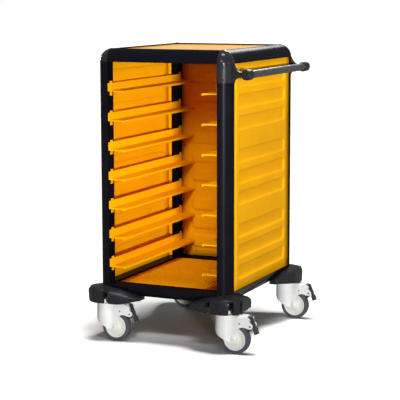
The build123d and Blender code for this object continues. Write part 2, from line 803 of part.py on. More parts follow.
def make_rim(name, at_x, at_y):
    """Plastic wheel centre: hub, disc and rim ring, with a groove between the last two."""
    rim_radius = wheel_radius - tyre_thickness - bond_gap
    rim_half_width = tyre_width / 2
    bore = axle_radius + running_fit + bush_wall + bond_gap
    ring_inside = disc_radius + rim_groove
    steps = [
        (bore, 0),
        (bore, hub_half_width),
        (hub_radius, hub_half_width),
        (hub_radius, disc_half_width),
        (disc_radius, disc_half_width),
        (disc_radius, disc_half_width - rim_groove_depth),
        (ring_inside, disc_half_width - rim_groove_depth),
        (ring_inside, rim_half_width),
        (rim_radius, rim_half_width),
        (rim_radius, 0),
    ]
    with BuildPart() as rim:
        with BuildSketch(wheel_plane(at_x, at_y)):
            with BuildLine():
                Polyline(*steps, close=True)
            make_face()
            mirror(about=Plane.XZ)
        revolve(axis=Axis((at_x + wheel_trail, at_y, wheel_radius), (0, 1, 0)))
    save(rim.part, name)


def make_tyre(name, at_x, at_y):
    """Tyre with a rounded tread on the rim."""
    with BuildPart() as tyre:
        with BuildSketch(wheel_plane(at_x, at_y)) as section:
            with Locations((wheel_radius - tyre_thickness, 0)):
                Rectangle(tyre_thickness, tyre_width, align=side_middle)
            fillet(section.vertices().group_by(Axis.X)[-1], tyre_rounding)
        revolve(axis=Axis((at_x + wheel_trail, at_y, wheel_radius), (0, 1, 0)))
    save(tyre.part, name)


def make_bushes(name, at_x, at_y):
    """The two flanged bushes that carry one wheel on its axle."""
    side = castor_side(at_x, at_y)
    bore = axle_radius + running_fit
    with BuildPart() as bushes:
        for face in (-1, 1):
            seat = side.offset(face * hub_half_width)
            with BuildSketch(seat):
                Circle(bore + bush_wall)
                Circle(bore, mode=Mode.SUBTRACT)
            extrude(amount=-face * (hub_half_width - bush_wall))
            with BuildSketch(seat):
                Circle(bore + bush_wall + bush_flange)
                Circle(bore, mode=Mode.SUBTRACT)
            extrude(amount=face * bush_flange_thickness)
    save(bushes.part, name)


def make_pedal(name, at_x, at_y):
    """Brake pedal: a leaning lever between the cheeks, with its hub on the pin and a shoe near the tyre."""
    side = castor_side(at_x, at_y)
    foot = around(pedal_pin, pedal_offset, pedal_lean)
    end_radius = pedal_thickness / 2
    end_rise = drum_bottom - pedal_headroom - end_radius - wheel_radius
    pedal_up = (end_rise - foot[1]) / cos(radians(pedal_lean)) + end_radius
    plate_middle = around(foot, (pedal_up - pedal_down) / 2, pedal_lean + 90)
    tread_middle = around(foot, tread_length / 2 - pedal_down, pedal_lean + 90)
    shoe_length = shoe_reach - shoe_thickness / 2
    shoe_middle = around(pedal_pin, shoe_length / 2, shoe_bearing)
    with BuildPart() as pedal:
        with BuildSketch(side):
            with Locations(plate_middle):
                SlotOverall(pedal_up + pedal_down, pedal_thickness, rotation=90 + pedal_lean)
        extrude(amount=pedal_width / 2, both=True)
        with BuildSketch(side):
            with Locations(tread_middle):
                Rectangle(pedal_thickness + 2 * tread_proud, tread_length, rotation=pedal_lean)
        extrude(amount=tread_width / 2, both=True)
        with BuildSketch(side):
            with Locations(shoe_middle):
                SlotCenterToCenter(shoe_length, shoe_thickness, rotation=shoe_bearing)
        extrude(amount=shoe_width / 2, both=True)
        with BuildSketch(side):
            with Locations(pedal_pin):
                Circle(pedal_hub_radius)
        extrude(amount=cheek_inside - pedal_side_gap, both=True)
        with BuildSketch(side):
            with Locations(pedal_pin):
                Circle(pedal_pin_radius + running_fit)
        extrude(amount=cheek_outside, both=True, mode=Mode.SUBTRACT)
    save(pedal.part, name)


def make_frame():
    """Posts and rails of quarter-round profile."""
    post_length = top_rail_z - frame_bottom
    post_middle = (top_rail_z + frame_bottom) / 2
    for name, side_x, side_y in corners:
        origin = (side_x * inner_x, side_y * inner_y, post_middle)
        plane = outward_plane(origin, (side_x, 0, 0), (0, side_y, 0))
        screw_side = side_y if side_x > 0 else None
        make_bar(f"post_{name}", plane, post_length, groove_at, hook_slot=True, screw_side=screw_side)
    for name, side_y in front_and_rear:
        top = outward_plane((0, side_y * inner_y, top_rail_z), (0, side_y, 0), (0, 0, 1))
        bottom = outward_plane((0, side_y * inner_y, floor_rail_z), (0, side_y, 0), (0, 0, -1))
        make_bar(f"top_rail_{name}", top, 2 * inner_x, top_groove_at, edge_groove=side_y > 0)
        make_bar(f"bottom_rail_{name}", bottom, 2 * inner_x, floor_groove_at, edge_groove=side_y > 0)
    for name, side_x in left_and_right:
        top = outward_plane((side_x * inner_x, 0, top_rail_z), (side_x, 0, 0), (0, 0, 1))
        bottom = outward_plane((side_x * inner_x, 0, floor_rail_z), (side_x, 0, 0), (0, 0, -1))
        make_bar(f"top_rail_{name}", top, 2 * inner_y, top_groove_at)
        make_bar(f"bottom_rail_{name}", bottom, 2 * inner_y, floor_groove_at)


def make_panels():
    """The five panels of the cabinet."""
    height = top_rail_z - floor_rail_z
    middle = (top_rail_z + floor_rail_z) / 2
    for name, side_x in left_and_right:
        outer = (side_x * (half_width - panel_recess), 0, middle)
        face = Plane(outer, x_dir=(0, 1, 0), z_dir=(side_x, 0, 0))
        make_pressed_panel(f"panel_{name}", face, 2 * inner_y, height, returns=True)
    outer = (0, half_depth - panel_recess, middle)
    make_pressed_panel("panel_rear", Plane(outer, x_dir=(1, 0, 0), z_dir=(0, 1, 0)), 2 * inner_x, height)
    make_top_panel()
    make_floor_panel()


os.makedirs("parts", exist_ok=True)
make_frame()
make_corner_caps()
make_corner_blocks()
make_panels()
for level in range(tray_levels):
    make_tray_rails(level)
for name, side_x, side_y in corners:
    make_bumper(f"bumper_{name}", side_x, side_y)
make_handle_tube()
for name, side_y in front_and_rear:
    make_handle_bracket(f"handle_bracket_{name}", side_y)
make_handle_screws()
make_castor_stems()
for name, side_x, side_y in corners:
    place = (side_x * stem_x, side_y * stem_y)
    make_hood(f"castor_hood_{name}", *place)
    make_pins(f"castor_pins_{name}", *place)
    make_rim(f"castor_rim_{name}", *place)
    make_tyre(f"castor_tyre_{name}", *place)
    make_bushes(f"castor_bushes_{name}", *place)
    make_pedal(f"castor_pedal_{name}", *place)
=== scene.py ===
# %% [markdown]
# A tray trolley on four braked castors, dressed for a product picture.
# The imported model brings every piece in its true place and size, in metres, with +Z up and the open front
# facing -Y. This file keeps those solids where they are right, gives each one a finish, and makes the
# moulded and turned pieces again as smooth surfaces that are worked out with numpy.

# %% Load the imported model
import json

import bmesh
import bpy
import numpy as np
from mathutils import Matrix, Vector


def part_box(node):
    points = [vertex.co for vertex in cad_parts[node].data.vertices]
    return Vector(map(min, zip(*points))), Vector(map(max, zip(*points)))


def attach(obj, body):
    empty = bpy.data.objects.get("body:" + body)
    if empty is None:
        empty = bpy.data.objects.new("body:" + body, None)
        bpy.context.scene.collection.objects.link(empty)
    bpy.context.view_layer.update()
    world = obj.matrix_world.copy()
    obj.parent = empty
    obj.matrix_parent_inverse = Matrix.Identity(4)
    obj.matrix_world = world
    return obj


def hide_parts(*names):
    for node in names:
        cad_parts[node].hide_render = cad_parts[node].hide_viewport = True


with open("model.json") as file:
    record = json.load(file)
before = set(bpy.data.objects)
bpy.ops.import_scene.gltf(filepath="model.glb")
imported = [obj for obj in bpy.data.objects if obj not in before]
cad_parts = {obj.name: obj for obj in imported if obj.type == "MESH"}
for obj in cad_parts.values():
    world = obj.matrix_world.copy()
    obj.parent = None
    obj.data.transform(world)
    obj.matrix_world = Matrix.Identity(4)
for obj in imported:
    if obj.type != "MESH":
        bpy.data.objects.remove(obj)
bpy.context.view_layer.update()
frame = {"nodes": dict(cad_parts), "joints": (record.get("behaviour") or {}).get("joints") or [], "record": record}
cad_nodes = frame["nodes"]
node_slots = {piece["node"]: piece["material_slot"] for piece in frame["record"]["subparts"]}
axles = {joint["name"]: joint["pos_m"] for joint in frame["joints"]}
corners = ("front_left", "front_right", "rear_left", "rear_right")
mm = 0.001

# %% [markdown]
# The camera stands where the photographer stood: in front, a little to the right, and above the handle.
# Its place and lens come from matching the corners of the cabinet to the picture. A camera could also be
# aimed with a constraint, but turning three matrices by hand keeps yaw, pitch and roll readable.

# %% Camera
lens = 126.4
sensor_width = 36.0
camera_place = (1.9791, -4.3526, 1.1727)
yaw, pitch, roll = np.radians((24.398, 8.596, -0.115))
camera = bpy.data.objects.new("camera", bpy.data.cameras.new("camera"))
camera.data.lens = lens
camera.data.sensor_width = sensor_width
turned_right = Matrix.Rotation(yaw, 4, "Z")
looking_down = Matrix.Rotation(np.pi / 2 - pitch, 4, "X")
rolled = Matrix.Rotation(roll, 4, "Z")
heading = turned_right @ looking_down @ rolled
camera.matrix_world = Matrix.Translation(camera_place) @ heading
bpy.context.scene.collection.objects.link(camera)
bpy.context.scene.camera = camera
bpy.context.scene.view_settings.view_transform = "Standard"
print("camera at", camera_place)

# %% [markdown]
# A finish is a Principled shader whose colour, roughness and bump come from noise on Object coordinates, so
# the grain keeps its real size in millimetres on every piece. Numbers that are the same all over the surface
# are set on the shader itself. Image textures could do the same, but noise needs no files and no seams.

# %% Tools for the finishes
colour_noise_range = (0.35, 0.65)
roughness_noise_range = (0.3, 0.7)


def shader_input(material, name):
    """Named socket of a material's Principled shader."""
    return material.node_tree.nodes["Principled BSDF"].inputs[name]


def new_finish(name, metallic=0.0, coat=0.0, coat_roughness=0.2):
    """Material with the constants that hold all over the surface. A base that isn't metal mirrors nothing, so
    its thin coat alone sets the gloss."""
    material = bpy.data.materials.new(name)
    material.use_nodes = True
    shader_input(material, "Specular IOR Level").default_value = 0.0
    shader_input(material, "Metallic").default_value = metallic
    shader_input(material, "Coat Weight").default_value = coat
    shader_input(material, "Coat Roughness").default_value = coat_roughness
    return material


def noise(material, size, stretch=(1, 1, 1), detail=3.0):
    """Noise whose blobs are about size metres across, drawn out along the axes by stretch."""
    nodes = material.node_tree.nodes
    links = material.node_tree.links
    place = nodes.new("ShaderNodeTexCoord")
    mapping = nodes.new("ShaderNodeMapping")
    mapping.inputs["Scale"].default_value = [1 / (size * s) for s in stretch]
    texture = nodes.new("ShaderNodeTexNoise")
    texture.inputs["Scale"].default_value = 1.0
    texture.inputs["Detail"].default_value = detail
    links.new(place.outputs["Object"], mapping.inputs["Vector"])
    links.new(mapping.outputs["Vector"], texture.inputs["Vector"])
    return texture.outputs["Fac"]


def tint(material, amount, dark, light):
    """Colour that runs from dark to light as amount runs through the middle of the noise."""
    ramp = material.node_tree.nodes.new("ShaderNodeValToRGB")
    for element, position, colour in zip(ramp.color_ramp.elements, colour_noise_range, (dark, light)):
        element.position = position
        element.color = (*colour, 1.0)
    material.node_tree.links.new(amount, ramp.inputs["Fac"])
    material.node_tree.links.new(ramp.outputs["Color"], shader_input(material, "Base Color"))


def polish(material, amount, low, high):
    """Roughness that runs from low to high as amount runs through the middle of the noise."""
    spread = material.node_tree.nodes.new("ShaderNodeMapRange")
    spread.inputs["From Min"].default_value = roughness_noise_range[0]
    spread.inputs["From Max"].default_value = roughness_noise_range[1]
    spread.inputs["To Min"].default_value = low
    spread.inputs["To Max"].default_value = high
    material.node_tree.links.new(amount, spread.inputs["Value"])
    material.node_tree.links.new(spread.outputs["Result"], shader_input(material, "Roughness"))


def grain(material, amount, depth, strength):
    """Bump of the given depth in metres."""
    bump = material.node_tree.nodes.new("ShaderNodeBump")
    bump.inputs["Strength"].default_value = strength
    bump.inputs["Distance"].default_value = depth
    material.node_tree.links.new(amount, bump.inputs["Height"])
    material.node_tree.links.new(bump.outputs["Normal"], shader_input(material, "Normal"))


finishes = {}
print("middle of the noise for colour and roughness:", colour_noise_range, roughness_noise_range)

# %% [markdown]
# Frame: aluminium profiles with a black coat. The coat is smooth and slightly uneven, as sprayed coats are,
# and reflects little, so the posts stay almost black beside a white background. The base could be glossy
# itself, but a thin coat over a dull base keeps the colour and the highlight apart. The bottom rails of the
# two sides have a glossier coat, and their round undersides mirror the pale floor as a grey band.


# %% Black coat on the frame
def coated_finish(name, coat, coat_roughness):
    """Black coat whose colour and roughness drift a little."""
    material = new_finish(name, coat=coat, coat_roughness=coat_roughness)
    tint(material, noise(material, 60 * mm), dark=(0.0030, 0.0028, 0.0052), light=(0.0046, 0.0043, 0.0076))
    polish(material, noise(material, 18 * mm), low=0.30, high=0.40)
    return material


coated = coated_finish("coated_frame", coat=0.07, coat_roughness=0.28)
glossy = coated_finish("coated_side_rail", coat=0.20, coat_roughness=0.15)
finishes["frame_black"] = coated
print("finishes:", coated.name, glossy.name)

# %% [markdown]
# Moulded black plastic: handle brackets, corner caps and the hidden blocks. Most come from a mould with an
# etched face, so they have a fine even grain and look a little greyer than the coated profiles. The domed
# corner caps come from a smoother mould and catch a bright spot of light. One finish could serve for all, but
# the eye rests on the corners, so the caps get their own.

# %% Moulded black plastic
moulded = new_finish("moulded_black", coat=0.14, coat_roughness=0.30)
tint(moulded, noise(moulded, 3 * mm), dark=(0.010, 0.010, 0.013), light=(0.020, 0.020, 0.024))
polish(moulded, noise(moulded, 9 * mm), low=0.40, high=0.52)
grain(moulded, noise(moulded, 0.9 * mm), depth=0.06 * mm, strength=0.4)
finishes["black_plastic"] = moulded

domed = new_finish("moulded_cap", coat=0.35, coat_roughness=0.20)
tint(domed, noise(domed, 3 * mm), dark=(0.006, 0.006, 0.008), light=(0.012, 0.012, 0.015))
polish(domed, noise(domed, 9 * mm), low=0.36, high=0.46)
grain(domed, noise(domed, 0.9 * mm), depth=0.02 * mm, strength=0.3)
print("finishes:", moulded.name, domed.name)

# %% [markdown]
# Yellow panels: sheet plastic with a satin face. The colour drifts very slightly over a hand's width and the
# face has the shallow ripple of formed sheet. Inside the cabinet the yellow deepens to orange. A second
# colour could do that, but it comes by itself, because light that has met one yellow wall meets another. The
# top panel is the same sheet with a polished face, which mirrors the pale room at a low angle and so looks
# lighter than the sides. Its yellow is painted darker than the sides' as painted shade, to hold back the
# overhead light that falls on it.

# %% Yellow sheet plastic
sheet = new_finish("yellow_sheet", coat=0.07, coat_roughness=0.3)
tint(sheet, noise(sheet, 140 * mm), dark=(0.90, 0.405, 0.002), light=(0.95, 0.440, 0.003))
polish(sheet, noise(sheet, 30 * mm), low=0.40, high=0.50)
grain(sheet, noise(sheet, 22 * mm, detail=1.0), depth=0.25 * mm, strength=0.2)
finishes["yellow_panel"] = sheet

# Painted shade: the top panel's yellow is darker than the sides' to offset the overhead light on it.
polished_shaded = new_finish("yellow_polished_shaded", coat=0.40, coat_roughness=0.15)
tint(polished_shaded, noise(polished_shaded, 140 * mm), dark=(0.82, 0.370, 0.002), light=(0.88, 0.405, 0.003))
polish(polished_shaded, noise(polished_shaded, 30 * mm), low=0.30, high=0.40)
print("finishes:", sheet.name, polished_shaded.name)

# %% [markdown]
# Tray rails: the same yellow, moulded instead of formed, so they are a touch glossier and have faint flow
# lines along their length. A wave texture could draw such lines, but they would be too even. Noise that is
# drawn out along Y, the way that the rails run, makes them uneven.

# %% Yellow moulded rails
rail = new_finish("yellow_moulding", coat=0.10, coat_roughness=0.25)
tint(rail, noise(rail, 80 * mm, stretch=(1, 3, 1)), dark=(0.92, 0.415, 0.002), light=(0.96, 0.450, 0.003))
polish(rail, noise(rail, 16 * mm, stretch=(1, 5, 1)), low=0.34, high=0.44)
grain(rail, noise(rail, 2 * mm, stretch=(1, 8, 1)), depth=0.03 * mm, strength=0.3)
finishes["rail_orange"] = rail
print("finish:", rail.name)

# %% [markdown]
# Bumpers: a tough grey-black plastic with a fine grain and a slightly mottled face, which hides the scuffs
# that door frames leave. The grain could be modelled, but it is far too fine to change the outline, so bump
# is enough.

# %% Bumper plastic
bumper = new_finish("bumper_grain", coat=0.18, coat_roughness=0.28)
tint(bumper, noise(bumper, 9 * mm, detail=6.0), dark=(0.012, 0.012, 0.014), light=(0.019, 0.019, 0.022))
polish(bumper, noise(bumper, 10 * mm), low=0.46, high=0.58)
grain(bumper, noise(bumper, 1.1 * mm), depth=0.05 * mm, strength=0.3)
finishes["bumper_plastic"] = bumper
print("finish:", bumper.name)

# %% [markdown]
# Handle tube: grey anodised aluminium. Extrusion leaves fine lines along the tube, so the noise is drawn out
# along Y here too, and much further than on the rails. An anisotropic shader could smear the highlight in the
# same way, but only lines in the colour and the bump also show close up.

# %% Anodised tube
tube = new_finish("anodised_tube", coat=0.15, coat_roughness=0.3)
tint(tube, noise(tube, 1.5 * mm, stretch=(1, 60, 1)), dark=(0.040, 0.043, 0.042), light=(0.062, 0.066, 0.065))
polish(tube, noise(tube, 4 * mm, stretch=(1, 20, 1)), low=0.34, high=0.46)
grain(tube, noise(tube, 0.6 * mm, stretch=(1, 60, 1)), depth=0.02 * mm, strength=0.3)
finishes["handle_grey"] = tube
print("finish:", tube.name)

# %% [markdown]
# Steel: the castor stems are turned and zinc plated, with a darker bloom here and there. Bare metal shows
# only what it mirrors, so its metallic value is 1. The bracket screws and the castor pins are blackened and
# dull. They could be metal too, but a dark base under a faint coat shows them as the small dark dots that
# they are.

# %% Plated and blackened steel
steel = new_finish("plated_steel", metallic=1.0)
tint(steel, noise(steel, 3 * mm), dark=(0.42, 0.42, 0.43), light=(0.56, 0.56, 0.57))
polish(steel, noise(steel, 1.5 * mm), low=0.26, high=0.40)
grain(steel, noise(steel, 0.5 * mm), depth=0.01 * mm, strength=0.3)
finishes["steel"] = steel

blackened = new_finish("blackened_steel", coat=0.05, coat_roughness=0.3)
tint(blackened, noise(blackened, 2 * mm), dark=(0.003, 0.003, 0.004), light=(0.006, 0.006, 0.007))
polish(blackened, noise(blackened, 1.5 * mm), low=0.3, high=0.42)
finishes["black_steel"] = blackened
print("finishes:", steel.name, blackened.name)

# %% [markdown]
# Castors: a white moulded hood, a wheel centre of creamier plastic, a slate rubber tyre and a dark pedal. One
# plastic in four colours could stand for them all, but they differ in gloss and grain too: the hood is the
# smoothest, the pedal is etched for grip, and the rubber is the dullest and has the deepest grain.

# %% Castor plastics and rubber
white = new_finish("castor_white", coat=0.25, coat_roughness=0.3)
tint(white, noise(white, 25 * mm, detail=5.0), dark=(0.87, 0.87, 0.85), light=(0.91, 0.91, 0.89))
polish(white, noise(white, 12 * mm), low=0.40, high=0.50)
grain(white, noise(white, 1.2 * mm), depth=0.04 * mm, strength=0.25)
finishes["castor_plastic"] = white

cream = new_finish("wheel_cream", coat=0.2, coat_roughness=0.3)
tint(cream, noise(cream, 20 * mm, detail=5.0), dark=(0.83, 0.82, 0.72), light=(0.88, 0.87, 0.77))
polish(cream, noise(cream, 10 * mm), low=0.42, high=0.52)
grain(cream, noise(cream, 1.2 * mm), depth=0.04 * mm, strength=0.25)

rubber = new_finish("tyre_rubber", coat=0.15, coat_roughness=0.45)
tint(rubber, noise(rubber, 6 * mm, detail=6.0), dark=(0.070, 0.078, 0.094), light=(0.100, 0.110, 0.130))
polish(rubber, noise(rubber, 5 * mm), low=0.50, high=0.64)
grain(rubber, noise(rubber, 0.8 * mm), depth=0.08 * mm, strength=0.4)
finishes["tyre"] = rubber

pedal = new_finish("pedal_plastic", coat=0.2, coat_roughness=0.35)
tint(pedal, noise(pedal, 6 * mm), dark=(0.036, 0.039, 0.046), light=(0.058, 0.062, 0.072))
polish(pedal, noise(pedal, 6 * mm), low=0.42, high=0.54)
grain(pedal, noise(pedal, 0.9 * mm), depth=0.06 * mm, strength=0.4)
finishes["pedal_plastic"] = pedal
print("finishes:", white.name, cream.name, rubber.name, pedal.name)

# %% [markdown]
# Every solid names a material slot in the record, and every slot has a finish. Four solids look different
# from the rest of their slot, so they get a finish of their own: the top panel, the caps and two rails.

# %% Put the finishes on the solids
own_finishes = {
    "panel_top": polished_shaded,
    "corner_caps": domed,
    "bottom_rail_left": glossy,
    "bottom_rail_right": glossy,
}
for node, solid in cad_nodes.items():
    solid.data.materials.clear()
    solid.data.materials.append(own_finishes.get(node, finishes[node_slots[node]]))
print("solids with a finish:", len(cad_nodes))

# %% [markdown]
# New pieces are grids. Blender's own shapes could be bent and joined, but a formula gives a moulding's true
# curves at once: it has a point for every pair of parameters, the points are one array of rows and columns,
# and these tools turn the array into a mesh of four-sided faces. A grid can close on itself along rows, along
# columns, or both, as a ring does.

# %% Tools for grid surfaces
same_place = 0.001 * mm
sharp_edge = np.radians(40)


def grid_quads(rows, columns, close_rows=False, close_columns=False):
    """Corner numbers of every cell of a grid. The last row or column is joined to the first if it closes."""
    i, j = np.meshgrid(
        np.arange(rows if close_rows else rows - 1),
        np.arange(columns if close_columns else columns - 1),
        indexing="ij",
    )
    next_i = (i + 1) % rows
    next_j = (j + 1) % columns
    cells = (i * columns + j, i * columns + next_j, next_i * columns + next_j, next_i * columns + j)
    return np.stack(cells, axis=-1).reshape(-1, 4)


def add_piece(name, points, quads, slot, body, finish=None):
    """Mesh piece with the finish of its slot or one of its own, riding on one body. Points in the same place
    become one, which closes seams and poles, and edges sharper than sharp_edge stay crisp."""
    mesh = bpy.data.meshes.new(name)
    mesh.from_pydata(points.reshape(-1, 3).tolist(), [], quads.tolist())
    merged = bmesh.new()
    merged.from_mesh(mesh)
    bmesh.ops.remove_doubles(merged, verts=merged.verts, dist=same_place)
    merged.to_mesh(mesh)
    merged.free()
    mesh.polygons.foreach_set("use_smooth", np.ones(len(mesh.polygons), dtype=bool))
    mesh.set_sharp_from_angle(angle=sharp_edge)
    mesh.materials.append(finish or finishes[slot])
    piece = bpy.data.objects.new(name, mesh)
    bpy.context.scene.collection.objects.link(piece)
    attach(piece, body)
    return piece


print("cells of a closed ring of 4 by 3 points:", len(grid_quads(4, 3, True, True)))

# %% [markdown]
# Side and rear panels: sheets with nine long bands pressed into them in groups of three. Each band has a
# crisp outline and then runs out softly into its flat floor, which a solid with square steps can't show. Here
# the depth of the sheet at each point comes from its distance inside the nearest band.

# %% Pressing of the panels
band_height = 47.5 * mm
band_radius = 17.5 * mm
band_depth = 5.5 * mm
band_pitch = 68.6 * mm
band_group_pitch = 245.0 * mm
band_slope = 14.0 * mm


def band_centres():
    """Heights of the nine bands above the middle of a panel."""
    groups = np.array((-1, 0, 1))
    return (groups[:, None] * band_group_pitch + groups * band_pitch).ravel()


def pressed_depth(across, up, half_length):
    """Depth of the pressing: 1 - (1-t)^3 of the distance t inside the nearest rounded band, so it is steep at
    the outline and flat at the floor."""
    rise = np.abs(up[..., None] - band_centres()).min(axis=-1)
    corner_x = np.abs(across) - (half_length - band_radius)
    corner_y = rise - (band_height / 2 - band_radius)
    outside = np.hypot(np.maximum(corner_x, 0), np.maximum(corner_y, 0))
    inside = np.minimum(np.maximum(corner_x, corner_y), 0)
    t = np.clip((band_radius - outside - inside) / band_slope, 0, 1)
    return band_depth * (1 - (1 - t) ** 3)


print("heights of the bands in mm:", (band_centres() / mm).round(1).tolist())

# %% [markdown]
# A panel is one grid over its whole face. Its lines lie close together where a band ends or has its slopes,
# and far apart elsewhere, so the pressing is smooth and the mesh stays small. Solidify gives the sheet its
# thickness, inwards from the outer face.

# %% Formed panels
sheet_thickness = 3.5 * mm
tongue = 5.5 * mm
band_margin = 40.0 * mm
lines_up_a_band = 31
lines_along_a_band = 15
lines_at_an_end = np.linspace(-20, 2.5, 19) * mm
line_decimals = 6  # lines that agree to a micrometre are one line


def formed_panel(node, outward):
    """Sheet over a panel's solid: u runs across it, v runs up it, and the depth goes in from its face."""
    low, high = (np.array(corner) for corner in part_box(node))
    out = np.array(outward, float)
    up = np.array((0.0, 0.0, 1.0))
    across = np.cross(up, out)
    middle = (low + high) / 2
    face = np.where(out > 0, high, low)
    centre = np.where(out == 0, middle, face)
    half_width = np.abs(across) @ (high - low) / 2
    half_height = (high - low)[2] / 2
    half_length = half_width - tongue - band_margin
    ends = half_length + lines_at_an_end
    along = np.linspace(-half_length, half_length, lines_along_a_band)
    columns = np.concatenate((-ends, along, ends, (-half_width, half_width)))
    in_bands = band_centres()[:, None] + np.linspace(-1, 1, lines_up_a_band) * band_height / 2
    rows = np.concatenate((in_bands.ravel(), (-half_height, half_height)))
    u, v = np.meshgrid(np.unique(columns.round(line_decimals)), np.unique(rows.round(line_decimals)))
    depth = pressed_depth(u, v, half_length)
    points = centre + u[..., None] * across + v[..., None] * up - depth[..., None] * out
    piece = add_piece(f"{node}_formed", points, grid_quads(*u.shape), "yellow_panel", "frame")
    thickness = piece.modifiers.new("sheet", "SOLIDIFY")
    thickness.thickness = sheet_thickness
    thickness.offset = -1.0
    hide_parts(node)
    print(piece.name, "rows and columns:", u.shape, "depth in mm:", round(depth.max() / mm, 1))


formed_panel("panel_left", (-1, 0, 0))
formed_panel("panel_right", (1, 0, 0))
formed_panel("panel_rear", (0, 1, 0))

# %% [markdown]
# Returns: the side panels are folded in along their upright edges, which shows as a yellow strip in front of
# each rear post. A box with a Bevel modifier could be such a strip, but a narrow loop carried straight up has
# its round corners from the start. Its grid closes along the columns.

# %% Returns of the side panels
return_width = 11.5 * mm
return_gap = 0.5 * mm
nose = 1.0 * mm


def rounded_loop(half_x, half_y, radius, steps=4):
    """Outline of a rectangle with round corners: four quarter circles in turn, joined by their ends."""
    quarter = np.linspace(0, np.pi / 2, steps)
    angles = np.concatenate([quarter + k * np.pi / 2 for k in range(4)])
    quadrants = np.repeat(((1, 1), (-1, 1), (-1, -1), (1, -1)), steps, axis=0)
    centres = quadrants * (half_x - radius, half_y - radius)
    return centres + radius * np.stack((np.cos(angles), np.sin(angles)), axis=-1)


def carried_up(loop, place, scales, heights):
    """Loop in plan, scaled about a place and set at a height, once for each scale. A scale of 0 is a single
    point, which closes an end."""
    plan = np.array(place) + np.array(scales)[:, None, None] * loop
    level = np.broadcast_to(np.array(heights)[:, None, None], (*plan.shape[:2], 1))
    return np.concatenate((plan, level), axis=-1)


return_loop = rounded_loop(return_width / 2, sheet_thickness / 2, nose)
for side, sign in (("left", -1), ("right", 1)):
    low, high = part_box(f"panel_{side}")
    reach = min(abs(low.x), abs(high.x)) + return_width / 2
    bottom = low.z + tongue + return_gap
    top = high.z - tongue - return_gap
    for fore, sign_y in (("front", -1), ("rear", 1)):
        edge = sign_y * (high.y - tongue - return_gap - sheet_thickness / 2)
        points = carried_up(return_loop, (sign * reach, edge), (0, 1, 1, 0), (bottom, bottom, top, top))
        quads = grid_quads(*points.shape[:2], close_columns=True)
        strip = add_piece(f"panel_{side}_return_{fore}", points, quads, "yellow_panel", "frame")
        print(strip.name, "height in mm:", round((top - bottom) / mm))

# %% [markdown]
# Wheels: the tyre and the wheel centre are turned shapes. Blender's Screw modifier could turn a section, but
# a grid that closes both ways has no seam to merge. The section has the small radii of a moulding, which
# catch the light as thin rings, where the plain solid has sharp steps. These tools round a section's corners
# and carry it once round the axle.

# %% Tools for turned pieces
turn_steps = 96
longest_share = 0.45
tiny = 1e-9


def turned(section, centre):
    """Section of (distance from the axis, distance along it) carried round an axis parallel to Y."""
    turn = np.linspace(0, 2 * np.pi, turn_steps, endpoint=False)
    radius, along = section[:, 0], section[:, 1]
    ring = np.stack((
        radius * np.cos(turn)[:, None],
        np.broadcast_to(along, (turn_steps, len(section))),
        radius * np.sin(turn)[:, None],
    ), axis=-1)
    return ring + np.array(centre)


def smooth_section(outline, radius, steps=5):
    """Closed outlines with their corners rounded: each corner becomes a curve between points radius away,
    (1-t)^2 a + 2t(1-t) corner + t^2 b. No side gives more than its longest_share to a corner."""
    corner = np.array(outline)
    before = np.roll(corner, 1, axis=-2) - corner
    after = np.roll(corner, -1, axis=-2) - corner
    length_before = np.maximum(np.linalg.norm(before, axis=-1, keepdims=True), tiny)
    length_after = np.maximum(np.linalg.norm(after, axis=-1, keepdims=True), tiny)
    start = (corner + before * np.minimum(radius / length_before, longest_share))[..., None, :]
    end = (corner + after * np.minimum(radius / length_after, longest_share))[..., None, :]
    t = np.linspace(0, 1, steps)[:, None]
    curve = (1 - t) ** 2 * start + 2 * t * (1 - t) * corner[..., None, :] + t ** 2 * end
    return curve.reshape(*corner.shape[:-2], -1, 2)


def mirrored_section(half):
    """Half a section, given from the bore to the outside, with its mirror image on the other side."""
    half = np.array(half)
    return np.concatenate((half, half[::-1] * (1, -1))) * mm


print("steps in a turn:", turn_steps)

# %% [markdown]
# The sections are written in millimetres, as the distance from the axle and the distance from the wheel's
# middle. A white ring is set into each face round the creamier centre, and the open joint between the two
# shows as a thin dark line. A section is read backwards so that its faces point outwards, and forwards where
# a mirror has already turned it round.

# %% Tyres and wheel centres
tyre_half = [
    (37.95, 12.0),
    (40.0, 13.5),
    (44.6, 13.5),
    (45.2, 13.1),
    (45.8, 13.5),
    (48.2, 12.6),
    (49.6, 9.0),
    (49.99, 3.0),
]
centre_half = [
    (8.2, 14.4),
    (13.6, 14.4),
    (14.4, 12.2),
    (20.0, 11.0),
    (28.0, 11.4),
    (30.4, 12.6),
    (30.9, 9.0),
    (37.9, 9.0),
]
ring_corners = [
    (33.2, 9.05),
    (33.6, 13.4),
    (37.9, 13.4),
    (37.9, 9.05),
]
tyre_rounding = 1.2 * mm
wheel_rounding = 0.8 * mm
wheel_faces = (("front", -1), ("rear", 1))
tyre_section = smooth_section(mirrored_section(tyre_half), tyre_rounding)
centre_section = smooth_section(mirrored_section(centre_half), wheel_rounding)
ring_section = smooth_section(np.array(ring_corners) * mm, wheel_rounding)
for corner in corners:
    axle = axles[f"wheel_{corner}"]
    body = f"castor_{corner}_wheel"
    for part, section, slot, finish in (
        ("tyre", tyre_section, "tyre", rubber),
        ("rim", centre_section, "castor_plastic", cream),
    ):
        points = turned(section[::-1], axle)
        quads = grid_quads(*points.shape[:2], close_rows=True, close_columns=True)
        piece = add_piece(f"castor_{part}_{corner}_turned", points, quads, slot, body, finish)
        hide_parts(f"castor_{part}_{corner}")
    for face, sign in wheel_faces:
        points = turned(ring_section[::-sign] * (1, sign), axle)
        quads = grid_quads(*points.shape[:2], close_rows=True, close_columns=True)
        add_piece(f"castor_ring_{corner}_{face}", points, quads, "castor_plastic", body)
print("wheels turned:", len(corners), "section points:", len(tyre_section), len(centre_section))

# %% [markdown]
# Axle covers: a shallow white button is pressed over each end of the axle, so no steel shows on the boss.
# It is turned like the wheel, from a short open section whose first point lies on the axle's line and closes
# the middle.

